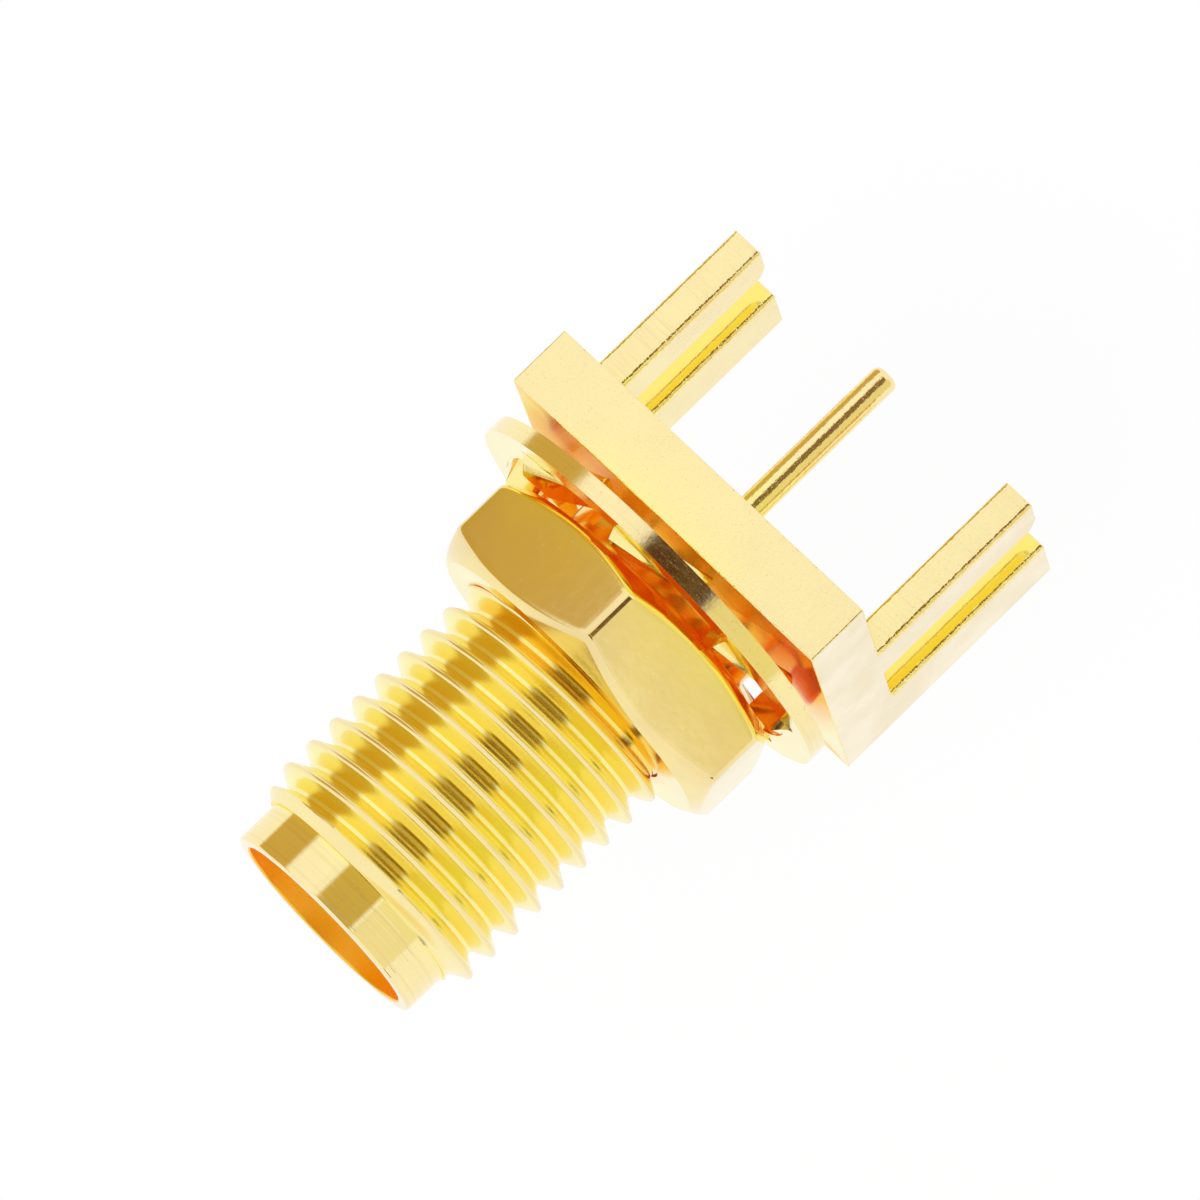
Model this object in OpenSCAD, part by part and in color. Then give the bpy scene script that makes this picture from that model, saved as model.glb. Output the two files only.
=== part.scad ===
// Coaxial jack of the SMA size for the edge of a circuit board, with a panel nut and a lock washer.
// Millimetres. The barrel's axis is Y: the mouth faces -Y and the solder tail points to +Y.
// The origin is on that axis, in the rear face of the flange, where the board's edge stops.

/* [Barrel] */
// Length from the mouth to the front face of the flange
barrel_len = 11.13; // [10.2:0.01:14]
// Outside diameter over the thread crests
thread_d = 6.24; // [6.0:0.01:6.35]
// Threads in one inch of the barrel
threads_per_inch = 36; // [32:1:40]
// Depth of the thread from crest to root
thread_depth = 0.43; // [0.3:0.01:0.5]
// Distance from the mouth to the first crest, on the +X side
first_crest = 1.49; // [1.2:0.01:1.8]
// Length of the plain nose ahead of the thread
nose_len = 1.08; // [0.6:0.01:1.6]
// Diameter of the plain nose
nose_d = 5.3; // [5.1:0.01:5.36]
// Chamfer round the outer edge of the mouth
nose_chamfer = 0.06; // [0.02:0.01:0.12]
// Length of the smooth neck between the thread and the flange
neck_len = 1.0; // [0.4:0.05:1.1]

/* [Mouth and bore] */
// Diameter of the mouth that takes the mating plug
mouth_d = 4.64; // [4.6:0.01:4.8]
// Depth of the mouth, down to the face of the insulator
mouth_depth = 1.95; // [1.9:0.01:2.2]
// Chamfer at the mouth's inner edge
mouth_chamfer = 0.05; // [0.02:0.01:0.1]
// Bore that carries the insulator
bore_d = 4.14; // [4.0:0.01:4.3]
// Width of the groove that locks the insulator in the bore
lock_groove_w = 0.6; // [0.4:0.1:1]
// Depth of that groove
lock_groove_depth = 0.12; // [0.08:0.01:0.2]
// Distance of the groove's middle from the mouth
lock_groove_at = 7.0; // [5:0.1:9]

/* [Flange and prongs] */
// Length of the flange, across the board
flange_l = 9.4; // [9:0.05:12.7]
// Height of the flange
flange_h = 7.9; // [7.4:0.05:9.5]
// Thickness of the flange
flange_t = 1.6; // [1.2:0.05:2]
// Width of each prong
prong_w = 0.83; // [0.6:0.01:1.2]
// Length of the prongs behind the flange
prong_len = 4.77; // [3.5:0.01:6]
// Height of the upper prongs' top face above the axis
upper_prong_top = 0.7; // [0.4:0.01:1]
// Depth of the board's top face below the axis
board_top_drop = 0.66; // [0.34:0.01:0.8]
// Gap between upper and lower prongs, for the board
board_gap = 1.59; // [0.8:0.01:1.7]
// Lead-in on the upper prongs' tips: length along the prong
lead_len = 0.25; // [0.1:0.01:0.6]
// Lead-in on the upper prongs' tips: height
lead_h = 0.42; // [0.1:0.01:0.8]

/* [Nut] */
// Width of the nut across its flats
nut_af = 8; // [7.6:0.01:9]
// Thickness of the nut
nut_t = 2.3; // [1.8:0.05:3]
// Angle of the chamfers on both faces of the nut
nut_chamfer_deg = 30; // [15:1:40]
// Diameter of the flat ring on each face, as a share of the width across flats
nut_face_share = 0.95; // [0.9:0.01:0.99]
// How far the nut is turned about the axis
nut_turn = 41.4; // [0:0.1:60]
// Radial clearance between the two threads
thread_clearance = 0.08; // [0.05:0.01:0.12]
// Gap between the nut and the washer's teeth
nut_gap = 0.03; // [0.01:0.01:0.2]

/* [Lock washer] */
// Outside diameter of the lock washer
washer_d = 10.2; // [9.5:0.05:11]
// Thickness of its sheet
washer_t = 0.44; // [0.3:0.01:0.5]
// Width of its outer rim
rim_w = 0.85; // [0.6:0.01:1.1]
// Diameter of the hole between the tips of the teeth
washer_hole_d = 6.7; // [6.66:0.01:7]
// Number of teeth
tooth_count = 8; // [6:1:9]
// Width of a tooth at its root
tooth_root_w = 2.4; // [1.6:0.05:2.4]
// Width of a tooth at its tip
tooth_tip_w = 1.75; // [1:0.05:1.8]
// Twist of each tooth about its own middle line
tooth_twist = 16.5; // [8:0.5:20]
// How far the washer is turned about the axis
washer_turn = 12; // [0:0.5:45]
// How far the loose washer hangs off centre
washer_shift = 0.2; // [0:0.01:0.2]
// Gap between the washer's teeth and the flange
washer_gap = 0.12; // [0.02:0.01:0.3]

/* [Contact and insulator] */
// Outside diameter of the socket
socket_d = 1.27; // [1.2:0.01:1.4]
// Bore of the socket, for the plug's pin
socket_bore_d = 0.94; // [0.9:0.01:1]
// Depth of that bore
socket_bore_len = 3; // [2.4:0.1:4]
// Distance of the socket's end behind the insulator's face
socket_recess = 0.05; // [0:0.01:0.2]
// Number of slits that make the socket springy
slit_count = 4; // [2:2:4]
// Width of a slit
slit_w = 0.14; // [0.1:0.01:0.16]
// Length of the slits
slit_len = 2.4; // [1.6:0.1:2.8]
// Diameter of the ring that locks the contact in the insulator
lock_ring_d = 1.5; // [1.42:0.01:1.7]
// Width of that ring
lock_ring_w = 0.5; // [0.3:0.1:1]
// Diameter of the solder tail
tail_d = 0.67; // [0.5:0.01:0.8]
// Length of the tail behind the flange
tail_len = 4.82; // [3:0.01:6]
// Chamfer at the tail's tip
tail_chamfer = 0.14; // [0.05:0.01:0.2]
// Radial fit of the insulator and the contact
fit = 0.01; // [0.005:0.005:0.02]

/* [Hidden] */
$fn = 96;

GOLD = [0.93, 0.76, 0.38];
WHITE = [0.95, 0.95, 0.92];

thread_steps = 36;      // steps of the helix in one turn
spare_turns = 2;        // whole turns that are cut away at each end of a helix
slack = 0.5;            // overrun of cutting tools, and depth to which joined solids run into each other
neck_relief = 0.05;     // radial step from the thread's root down to the neck
run_in_step = 0.06;     // height at which the crests begin at the nose
run_in_slope = 1.2;     // rise of the crests for each mm after that
socket_edge = 0.05;     // broken edge round the socket's end
lead_in_w = 0.06;       // lead-in of the socket's bore, across and along
lead_in_len = 0.1;
tooth_root_in = 0.25;   // length of a tooth's root inside the rim
tooth_ease = 0.2;       // length over which a tooth twists out of the rim
tooth_half_way = 0.45;  // share of the twist that is reached at the rim's edge

pitch = 25.4 / threads_per_inch;
crest_r = thread_d / 2;
root_r = crest_r - thread_depth;
nose_r = nose_d / 2;
neck_r = root_r - neck_relief;
flank = thread_depth / sqrt(3);   // axial run of a 60-degree thread's flank
crest_w = pitch / 8;

y_flange = -flange_t;
y_mouth = y_flange - barrel_len;
y_thread = y_mouth + nose_len;
y_thread_end = y_flange - neck_len;
y_insulator = y_mouth + mouth_depth;
y_socket = y_insulator + socket_recess;
y_lock = y_mouth + lock_groove_at;

tooth_rise = tooth_root_w / 2 * sin(tooth_twist) + washer_t / 2 * cos(tooth_twist);
y_washer = y_flange - washer_gap - tooth_rise;
y_nut = y_washer - tooth_rise - nut_gap - nut_t;

board_top = -board_top_drop;
board_bottom = board_top - board_gap;

// Stands what is drawn round Z on the connector's axis, with Z turned to Y.
module on_axis() {
    rotate([-90, 0, 0]) children();
}

// A cylinder round the axis from y0 to y1.
module turned(r, y0, y1) {
    on_axis() translate([0, 0, y0]) cylinder(r = r, h = y1 - y0);
}

// Radius that the cutter leaves at the thread's start, where the crests run in at a slope.
function run_in(y) = max(root_r, root_r + run_in_step + run_in_slope * (y - y_thread));

// A solid threaded rod of whole turns, right-handed, whose crests pass y_crest at the +X side.
// Point j of row i lies on the thread's profile: root, flank, crest, flank, root.
module threaded_rod(y_crest, turns, grow = 0, clip = false) {
    profile = [
        [0, root_r],
        [flank, crest_r],
        [flank + crest_w, crest_r],
        [2 * flank + crest_w, root_r]
    ];
    count = len(profile);
    rows = turns * thread_steps;
    y_first = y_crest - flank - crest_w / 2;
    function row_y(i) = y_first + pitch * i / thread_steps;
    function limited(r, y) = clip ? min(r, run_in(y)) : r + grow;
    function place(i, j) = let (
            y = row_y(i) + profile[j][0],
            r = limited(profile[j][1], y),
            turn = 360 * i / thread_steps
        ) [r * cos(turn), r * sin(turn), y];
    roots = rows + thread_steps + 1;
    points = concat(
        [for (i = [0:roots - 1]) place(i, 0)],
        [for (i = [0:rows]) for (j = [1:count - 1]) place(i, j)],
        [[0, 0, y_first - pitch], [0, 0, row_y(roots - 1) + pitch]]
    );
    // Number of a point; the last column of a row is the root that starts the next turn.
    function at(i, j) = j == 0 ? i : j == count ? i + thread_steps : roots + i * (count - 1) + j - 1;
    start = len(points) - 2;
    end = len(points) - 1;
    faces = concat(
        [for (i = [0:rows - 1]) for (j = [0:count - 1]) for (half = [0, 1])
            half == 0
                ? [at(i, j), at(i, j + 1), at(i + 1, j)]
                : [at(i + 1, j), at(i, j + 1), at(i + 1, j + 1)]],
        [for (i = [0:thread_steps - 1]) [start, at(i, 0), at(i + 1, 0)]],
        [for (j = [0:count - 1]) [start, at(0, j + 1), at(0, j)]],
        [for (i = [rows:rows + thread_steps - 1]) [end, at(i + 1, 0), at(i, 0)]],
        [for (j = [0:count - 1]) [end, at(rows, j), at(rows, j + 1)]]
    );
    on_axis() polyhedron(points = points, faces = faces, convexity = 4);
}

// Side outline of a prong, in length and height, with a lead-in below its tip.
module prong(side, z0, z1, lead_y, lead_z) {
    x = side > 0 ? flange_l / 2 - prong_w : -flange_l / 2;
    translate([x, 0, 0]) rotate([90, 0, 90]) linear_extrude(prong_w) polygon([
        [-flange_t / 2, z0],
        [prong_len - lead_y, z0],
        [prong_len, z0 + lead_z],
        [prong_len, z1],
        [-flange_t / 2, z1]
    ]);
}

module body() {
    turns = ceil((y_thread_end - y_thread) / pitch) + 2 * spare_turns;
    color(GOLD) difference() {
        union() {
            // nose with a broken edge at the mouth
            on_axis() rotate_extrude() polygon([
                [0, y_mouth],
                [nose_r - nose_chamfer, y_mouth],
                [nose_r, y_mouth + nose_chamfer],
                [nose_r, y_thread + slack],
                [0, y_thread + slack]
            ]);
            // thread, cut off square at both ends
            intersection() {
                threaded_rod(y_mouth + first_crest - spare_turns * pitch, turns, clip = true);
                turned(thread_d, y_thread, y_thread_end);
            }
            // neck behind the thread
            turned(neck_r, y_thread_end - slack, y_flange + slack);
            // flange
            translate([-flange_l / 2, y_flange, -flange_h / 2]) cube([flange_l, flange_t, flange_h]);
            // an upper and a lower prong at each end, with the board between them
            for (side = [-1, 1]) {
                prong(side, board_top, upper_prong_top, lead_len, lead_h);
                prong(side, -flange_h / 2, board_bottom, 0, 0);
            }
        }
        // mouth with a broken inner edge, bore and lock groove
        on_axis() rotate_extrude() polygon([
            [0, y_mouth - slack],
            [mouth_d / 2 + mouth_chamfer + slack, y_mouth - slack],
            [mouth_d / 2, y_mouth + mouth_chamfer],
            [mouth_d / 2, y_insulator],
            [bore_d / 2, y_insulator],
            [bore_d / 2, y_lock - lock_groove_w / 2],
            [bore_d / 2 + lock_groove_depth, y_lock - lock_groove_w / 2],
            [bore_d / 2 + lock_groove_depth, y_lock + lock_groove_w / 2],
            [bore_d / 2, y_lock + lock_groove_w / 2],
            [bore_d / 2, slack],
            [0, slack]
        ]);
    }
}

module hex_nut() {
    corner_r = nut_af / sqrt(3);
    face_r = nut_af * nut_face_share / 2;
    rim_r = corner_r + slack;
    rim_drop = (rim_r - face_r) * tan(nut_chamfer_deg);
    turns = ceil(nut_t / pitch) + 2 * spare_turns;
    // whole turns of the barrel's own helix between its first crest and the nut's cut
    turns_ahead = floor((y_nut - y_mouth - first_crest) / pitch) - spare_turns;
    color(GOLD) difference() {
        intersection() {
            on_axis() translate([0, 0, y_nut]) rotate([0, 0, nut_turn])
                cylinder(r = corner_r, h = nut_t, $fn = 6);
            on_axis() rotate_extrude() polygon([
                [0, y_nut],
                [face_r, y_nut],
                [rim_r, y_nut + rim_drop],
                [rim_r, y_nut + nut_t - rim_drop],
                [face_r, y_nut + nut_t],
                [0, y_nut + nut_t]
            ]);
        }
        threaded_rod(y_mouth + first_crest + turns_ahead * pitch, turns, grow = thread_clearance);
    }
}

// One twisted tooth along +X, from inside the rim to its tip, as a loft of turned rectangles.
module tooth(rim_inner_r) {
    // radius, width and share of the twist
    stations = [
        [rim_inner_r + tooth_root_in, tooth_root_w, 0],
        [rim_inner_r, tooth_root_w, tooth_half_way],
        [rim_inner_r - tooth_ease, tooth_root_w, 1],
        [washer_hole_d / 2, tooth_tip_w, 1]
    ];
    corners = [[-1, -1], [1, -1], [1, 1], [-1, 1]];
    points = [for (s = stations) for (c = corners) let (
            turn = tooth_twist * s[2],
            across = c[0] * s[1] / 2,
            up = c[1] * washer_t / 2
        ) [s[0], across * cos(turn) - up * sin(turn), across * sin(turn) + up * cos(turn)]];
    last = 4 * (len(stations) - 1);
    faces = concat(
        [[2, 1, 0], [3, 2, 0]],
        [for (i = [0:len(stations) - 2]) for (k = [0:3]) for (half = [0, 1]) let (
                a = 4 * i + k,
                b = 4 * i + (k + 1) % 4
            ) half == 0 ? [a, b, a + 4] : [a + 4, b, b + 4]],
        [[last, last + 1, last + 2], [last, last + 2, last + 3]]
    );
    polyhedron(points = points, faces = faces, convexity = 2);
}

module lock_washer() {
    outer_r = washer_d / 2;
    rim_inner_r = outer_r - rim_w;
    color(GOLD) translate([-washer_shift, y_washer, 0]) on_axis() union() {
        translate([0, 0, -washer_t / 2]) difference() {
            cylinder(r = outer_r, h = washer_t);
            translate([0, 0, -slack]) cylinder(r = rim_inner_r, h = washer_t + 2 * slack);
        }
        for (k = [0:tooth_count - 1]) rotate([0, 0, washer_turn + 360 * k / tooth_count]) tooth(rim_inner_r);
    }
}

module insulator() {
    outer_r = bore_d / 2 - fit;
    hole_r = socket_d / 2 + fit;
    ring_r = lock_ring_d / 2 + fit;
    ridge_r = outer_r + lock_groove_depth;
    ridge_half = lock_groove_w / 2 - fit;
    ring_half = lock_ring_w / 2 + fit;
    color(WHITE) on_axis() rotate_extrude() polygon([
        [hole_r, y_insulator],
        [outer_r, y_insulator],
        [outer_r, y_lock - ridge_half],
        [ridge_r, y_lock - ridge_half],
        [ridge_r, y_lock + ridge_half],
        [outer_r, y_lock + ridge_half],
        [outer_r, 0],
        [hole_r, 0],
        [hole_r, y_lock + ring_half],
        [ring_r, y_lock + ring_half],
        [ring_r, y_lock - ring_half],
        [hole_r, y_lock - ring_half]
    ]);
}

module centre_contact() {
    socket_r = socket_d / 2;
    bore_r = socket_bore_d / 2;
    y_bore_end = y_socket + socket_bore_len;
    color(GOLD) difference() {
        // turned outline: socket, lock ring, shoulder level with the flange's rear face, tail
        on_axis() rotate_extrude() polygon([
            [0, y_bore_end],
            [bore_r, y_bore_end],
            [bore_r, y_socket + lead_in_len],
            [bore_r + lead_in_w, y_socket],
            [socket_r - socket_edge, y_socket],
            [socket_r, y_socket + socket_edge],
            [socket_r, y_lock - lock_ring_w / 2],
            [lock_ring_d / 2, y_lock - lock_ring_w / 2],
            [lock_ring_d / 2, y_lock + lock_ring_w / 2],
            [socket_r, y_lock + lock_ring_w / 2],
            [socket_r, 0],
            [tail_d / 2, 0],
            [tail_d / 2, tail_len - tail_chamfer],
            [tail_d / 2 - tail_chamfer, tail_len],
            [0, tail_len]
        ]);
        // slits between the spring fingers, each pair cut right through the socket
        for (k = [0:slit_count / 2 - 1]) on_axis() rotate([0, 0, 45 + 360 * k / slit_count])
            translate([-socket_d, -slit_w / 2, y_socket - slack])
                cube([2 * socket_d, slit_w, slit_len + slack]);
    }
}

body();
hex_nut();
lock_washer();
insulator();
centre_contact();
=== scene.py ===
"""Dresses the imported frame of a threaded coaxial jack: finer pieces, gold and white finishes, a plain studio."""

import math

import bmesh
import bpy
from bpy.props import FloatProperty, FloatVectorProperty, IntProperty, PointerProperty
from mathutils import Matrix, Vector


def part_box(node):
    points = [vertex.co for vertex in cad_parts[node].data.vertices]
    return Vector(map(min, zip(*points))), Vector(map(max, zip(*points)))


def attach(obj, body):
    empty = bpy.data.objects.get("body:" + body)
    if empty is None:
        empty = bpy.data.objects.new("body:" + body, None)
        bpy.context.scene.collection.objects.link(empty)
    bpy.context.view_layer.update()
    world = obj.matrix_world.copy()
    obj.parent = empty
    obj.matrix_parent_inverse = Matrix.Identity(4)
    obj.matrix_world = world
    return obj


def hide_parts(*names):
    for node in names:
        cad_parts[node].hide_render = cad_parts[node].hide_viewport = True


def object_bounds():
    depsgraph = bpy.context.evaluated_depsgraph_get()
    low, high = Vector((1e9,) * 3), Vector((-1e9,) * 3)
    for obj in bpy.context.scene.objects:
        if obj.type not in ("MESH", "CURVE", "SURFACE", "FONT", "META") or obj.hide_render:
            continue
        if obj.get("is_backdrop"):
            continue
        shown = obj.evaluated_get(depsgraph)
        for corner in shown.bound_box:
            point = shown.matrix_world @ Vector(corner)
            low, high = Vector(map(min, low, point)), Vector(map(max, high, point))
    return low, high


bl_info = {
    "name": "Edge-board coaxial jack",
    "version": (1, 0, 0),
    "blender": (4, 5, 0),
    "location": "3D View > Sidebar > Jack",
    "description": "Gold-plated coaxial jack for a board's edge, with its panel nut and lock washer",
    "category": "Object",
}

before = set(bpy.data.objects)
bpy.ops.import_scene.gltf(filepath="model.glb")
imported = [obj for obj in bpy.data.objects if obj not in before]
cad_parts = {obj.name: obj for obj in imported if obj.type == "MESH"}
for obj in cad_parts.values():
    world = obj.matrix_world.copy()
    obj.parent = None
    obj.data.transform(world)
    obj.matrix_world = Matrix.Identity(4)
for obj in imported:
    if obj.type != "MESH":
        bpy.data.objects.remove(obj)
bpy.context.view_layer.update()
MM = 1000.0  # millimetres in one metre; meshes are worked in millimetres and end in metres
MERGE = 0.002  # points of the thread closer than this become one
RUN_IN_EASE = 0.03  # rounding where the thread's run-in meets its flanks
LAP = 0.2  # how far solids reach into each other before they are joined
CLEAR = 0.5  # how far a cutter starts outside what it cuts
STRAIGHT = 0.99  # a face looks along an axis from this share of its normal on
NO_RUN_IN = -1000.0  # a place so far ahead that the crests are full everywhere
PAINTED_CREVICE_GLOW = 0.03  # painted glow deep in crevices, standing in for light bounced there
FLANGE, PRONG, NOSE, THREAD, EDGE, BORE_PAINTED_REFLECTION, SIDE_PAINTED_REFLECTION, SEAT_PAINTED_REFLECTION = range(8)  # the body's finishes


# ---- Properties ----


def length(name, description, millimetres):
    """A length that is kept in metres, with its default given in millimetres."""
    return FloatProperty(
        name=name,
        description=description,
        default=millimetres / MM,
        min=0.0,
        unit="LENGTH",
        subtype="DISTANCE",
        precision=5,
    )


def turn_of(name, description, degrees):
    """An angle that is kept in radians, with its default given in degrees."""
    return FloatProperty(name=name, description=description, default=math.radians(degrees), subtype="ANGLE")


def tint(name, description, colour):
    """A colour, linear."""
    return FloatVectorProperty(
        name=name, description=description, default=colour, min=0.0, max=1.0, subtype="COLOR", size=3
    )


class JackBarrelSizes(bpy.types.PropertyGroup):
    barrel_len: length("Barrel", "From the mouth to the front of the flange", 11.13)
    nose_len: length("Nose length", "Plain length ahead of the thread", 1.08)
    nose_d: length("Nose diameter", "Diameter of the plain nose", 5.3)
    mouth_ease: length("Mouth edge", "Radius of the edges round the mouth", 0.06)
    neck_len: length("Neck", "Smooth length between the thread and the flange", 1.0)
    neck_d: length("Neck diameter", "Diameter of that neck", 5.28)
    mouth_d: length("Mouth", "Diameter of the mouth", 4.64)
    mouth_depth: length("Mouth depth", "Down to the insulator's face", 1.95)
    bore_d: length("Bore", "Diameter of the bore for the insulator", 4.14)
    groove_w: length("Groove width", "Width of the insulator's locking groove", 0.6)
    groove_depth: length("Groove depth", "Depth of that groove", 0.12)
    groove_at: length("Groove place", "Middle of the groove from the mouth", 7.0)


class JackThreadSizes(bpy.types.PropertyGroup):
    thread_d: length("Thread", "Diameter over the crests", 6.24)
    pitch: length("Pitch", "From crest to crest", 25.4 / 36)
    depth: length("Thread depth", "From crest to root", 0.43)
    first_crest: length("First crest", "From the mouth to the first crest on the +X side", 1.49)
    run_in: length("Run-in step", "Height at which the crests begin", 0.06)
    crest_ease: length("Crest rounding", "How softly the crests are rounded", 0.1)
    root_ease: length("Root rounding", "How softly the roots are rounded", 0.06)
    clearance: length("Clearance", "Radial play between the barrel and the nut", 0.08)
    run_in_slope: FloatProperty(name="Run-in slope", description="Rise of the crests after the step", default=1.2)
    steps: IntProperty(name="Steps", description="Steps of the helix in one turn", default=112, min=24)
    across: IntProperty(name="Across", description="Faces across one pitch", default=16, min=6)


class JackFlangeSizes(bpy.types.PropertyGroup):
    flange_t: length("Thickness", "Thickness of the flange", 1.6)
    flange_l: length("Length", "Length of the flange across the board", 9.4)
    flange_h: length("Height", "Height of the flange", 7.9)
    prong_w: length("Prong width", "Width of each prong", 0.83)
    prong_len: length("Prong length", "Behind the flange", 4.77)
    prong_top: length("Prong top", "Top of the upper prongs above the axis", 0.7)
    board_drop: length("Board drop", "Board's top face below the axis", 0.66)
    board_gap: length("Board gap", "Room for the board between the prongs", 1.59)
    lead_len: length("Lead-in length", "Lead-in on the upper prongs, along", 0.25)
    lead_h: length("Lead-in height", "Lead-in on the upper prongs, up", 0.42)
    edge: length("Edge", "Width of the broken edges", 0.04)
    prong_edge: length("Prong edge", "Width of the tumbled long edges of the prongs", 0.12)


class JackNutSizes(bpy.types.PropertyGroup):
    across_flats: length("Across flats", "Width across the flats", 8.0)
    thickness: length("Thickness", "Thickness of the nut", 2.3)
    corner: length("Corner rounding", "Rounding of the six long edges", 0.22)
    edge: length("Edge", "Rounding of the chamfers' edges", 0.2)
    chamfer: turn_of("Chamfer", "Angle of the chamfers", 30)
    face_share: FloatProperty(
        name="Face ring", description="Diameter of the flat ring as a share of the flats", default=0.95
    )
    turn: turn_of("Turn", "Turn about the axis", 41.4)


class JackWasherSizes(bpy.types.PropertyGroup):
    washer_d: length("Diameter", "Outside diameter", 10.2)
    sheet: length("Sheet", "Thickness of the sheet", 0.44)
    rim_w: length("Rim", "Width of the outer rim", 0.85)
    hole_d: length("Hole", "Diameter between the tips of the teeth", 6.7)
    root_w: length("Tooth root", "Width of a tooth at its root", 2.4)
    tip_w: length("Tooth tip", "Width of a tooth at its tip", 1.75)
    shift: length("Off centre", "How far the loose washer hangs off the axis", 0.2)
    gap: length("Gap", "Between the teeth and the flange", 0.12)
    edge: length("Edge", "Width of the broken edges", 0.03)
    teeth: IntProperty(name="Teeth", description="Number of teeth", default=8, min=4)
    twist: turn_of("Twist", "Twist of each tooth", 16.5)
    turn: turn_of("Turn", "Turn about the axis", 12)


class JackContactSizes(bpy.types.PropertyGroup):
    socket_d: length("Socket", "Outside diameter of the socket", 1.27)
    socket_bore: length("Socket bore", "Bore for the plug's pin", 0.94)
    bore_len: length("Bore depth", "Depth of that bore", 3.0)
    recess: length("Recess", "Socket's end behind the insulator's face", 0.05)
    slit_w: length("Slit", "Width of the slits", 0.14)
    slit_len: length("Slit length", "Length of the slits", 2.4)
    ring_d: length("Ring", "Diameter of the locking ring", 1.5)
    ring_w: length("Ring width", "Width of the locking ring", 0.5)
    tail_d: length("Tail", "Diameter of the solder tail", 0.67)
    tail_len: length("Tail length", "Behind the flange", 4.82)
    tail_ease: length("Tail tip", "Rounding of the tail's tip", 0.16)
    fit: length("Fit", "Radial fit in the insulator", 0.01)


class JackColours(bpy.types.PropertyGroup):
    gold: tint("Gold", "Polished plating", (0.975, 0.82, 0.42))
    # Painted reflection: grooves and slots take this brighter gold in place of gold reflected in gold.
    fold: tint("Fold", "Painted reflection in grooves and slots", (1.0, 0.925, 0.30))
    # Painted shade: narrow crevices take this deep orange in place of light bounced between gold walls.
    painted_crevice_shade: tint("Painted hollow shade", "Painted shade deep in crevices", (0.95, 0.50, 0.03))
    # Painted shade: a duller gold on the thread's crests that tones down their highlight.
    crest: tint("Crest", "Painted shade on the thread's crests", (0.93, 0.77, 0.38))
    nut_gold: tint("Nut gold", "Deeper plating of the nut", (0.97, 0.80, 0.37))
    # Painted reflection: the board seats take this saturated gold in place of the upper prongs reflected in them.
    seat_painted_reflection: tint("Seat painted reflection", "Painted reflection on the board seats", (0.97, 0.82, 0.20))
    # Paler, greyer gold on the sawn sides: painted reflection of the floor at a grazing angle.
    side_painted_reflection: tint("Side painted reflection", "Sawn sides of flange and prongs, with painted reflection", (0.95, 0.85, 0.62))
    # Painted reflection: the deep orange inside the mouth stands in for light bounced between its gold walls.
    bore_painted_reflection: tint("Bore painted reflection", "Painted reflection inside the mouth", (1.0, 0.52, 0.0))
    smudge: tint("Smudge", "Slow mottling of the plating", (0.80, 0.60, 0.30))
    insulator: tint("Insulator", "White fluoroplastic", (0.90, 0.89, 0.86))
    floor: tint("Floor", "Studio floor", (0.9, 0.9, 0.9))
    shade: tint("Shade card", "Warm shade card beside the piece", (0.62, 0.43, 0.12))
    deep_shade: tint("Deep shade card", "Warm shade card above the lens", (0.62, 0.46, 0.12))
    lens_shade: tint("Lens shade", "Dark card round the lens", (0.055, 0.013, 0.001))
    tail_shade: tint("Tail shade", "Half-dark card above the tail", (0.26, 0.15, 0.035))
    grey: tint("Grey card", "Pale grey card below", (0.86, 0.84, 0.86))
    near_side: tint("Near side card", "Pale card beside the nose", (0.90, 0.85, 0.62))
    side: tint("Side card", "Pale card on the right", (0.84, 0.77, 0.43))


class JackStudio(bpy.types.PropertyGroup):
    distance: length("Camera distance", "From the camera to its target", 339.2)
    drop: length("Floor drop", "Floor below the piece, which hangs on its board", 14.0)
    card_reach: length("Card distance", "From the axis to the reflector cards", 70.0)
    lens: FloatProperty(name="Lens", description="Focal length", default=460.3, unit="CAMERA")
    azimuth: turn_of("Azimuth", "Camera's direction", 65.9)
    elevation: turn_of("Elevation", "Camera's height angle", 70.9)
    roll: turn_of("Roll", "Camera's roll", -21.3)
    bright: FloatProperty(name="Bright card", description="Strength of the bright card", default=1.03)
    world: FloatProperty(name="World", description="Strength of the world's light", default=0.75)


def sizes(name):
    """One group of settings of the scene."""
    return getattr(bpy.context.scene, "jack_" + name)


# ---- Outlines and meshes, in millimetres ----


def eased(corners, steps=3):
    """Outline through the corners (a, b, radius), each rounded by its radius."""
    line = []
    for i, (a, b, radius) in enumerate(corners):
        here = Vector((a, b))
        if not radius:
            line.append(here)
            continue
        before = (Vector(corners[i - 1][:2]) - here).normalized()
        after = (Vector(corners[(i + 1) % len(corners)][:2]) - here).normalized()
        half = before.angle(after) / 2
        reach = radius / math.tan(half)
        centre = here + (before + after).normalized() * radius / math.sin(half)
        start, end = here + before * reach - centre, here + after * reach - centre
        for k in range(steps + 1):
            line.append(centre + start.lerp(end, k / steps).normalized() * radius)
    return line


def blunt(a, b, width):
    """The smaller of two radii, with the step between them rounded over a width."""
    share = max(width - abs(a - b), 0.0) / width
    return min(a, b) - share * share * width / 4


def on_circle(r, y, angle):
    """Point on the axis' own circle, as the thread runs."""
    return (r * math.cos(angle), y, -r * math.sin(angle))


def solid(name, bm):
    """Object of a closed mesh, with its faces outward."""
    bmesh.ops.remove_doubles(bm, verts=bm.verts, dist=1e-6)
    bmesh.ops.recalc_face_normals(bm, faces=bm.faces)
    mesh = bpy.data.meshes.new(name)
    bm.to_mesh(mesh)
    bm.free()
    made = bpy.data.objects.new(name, mesh)
    bpy.context.scene.collection.objects.link(made)
    return made


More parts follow.
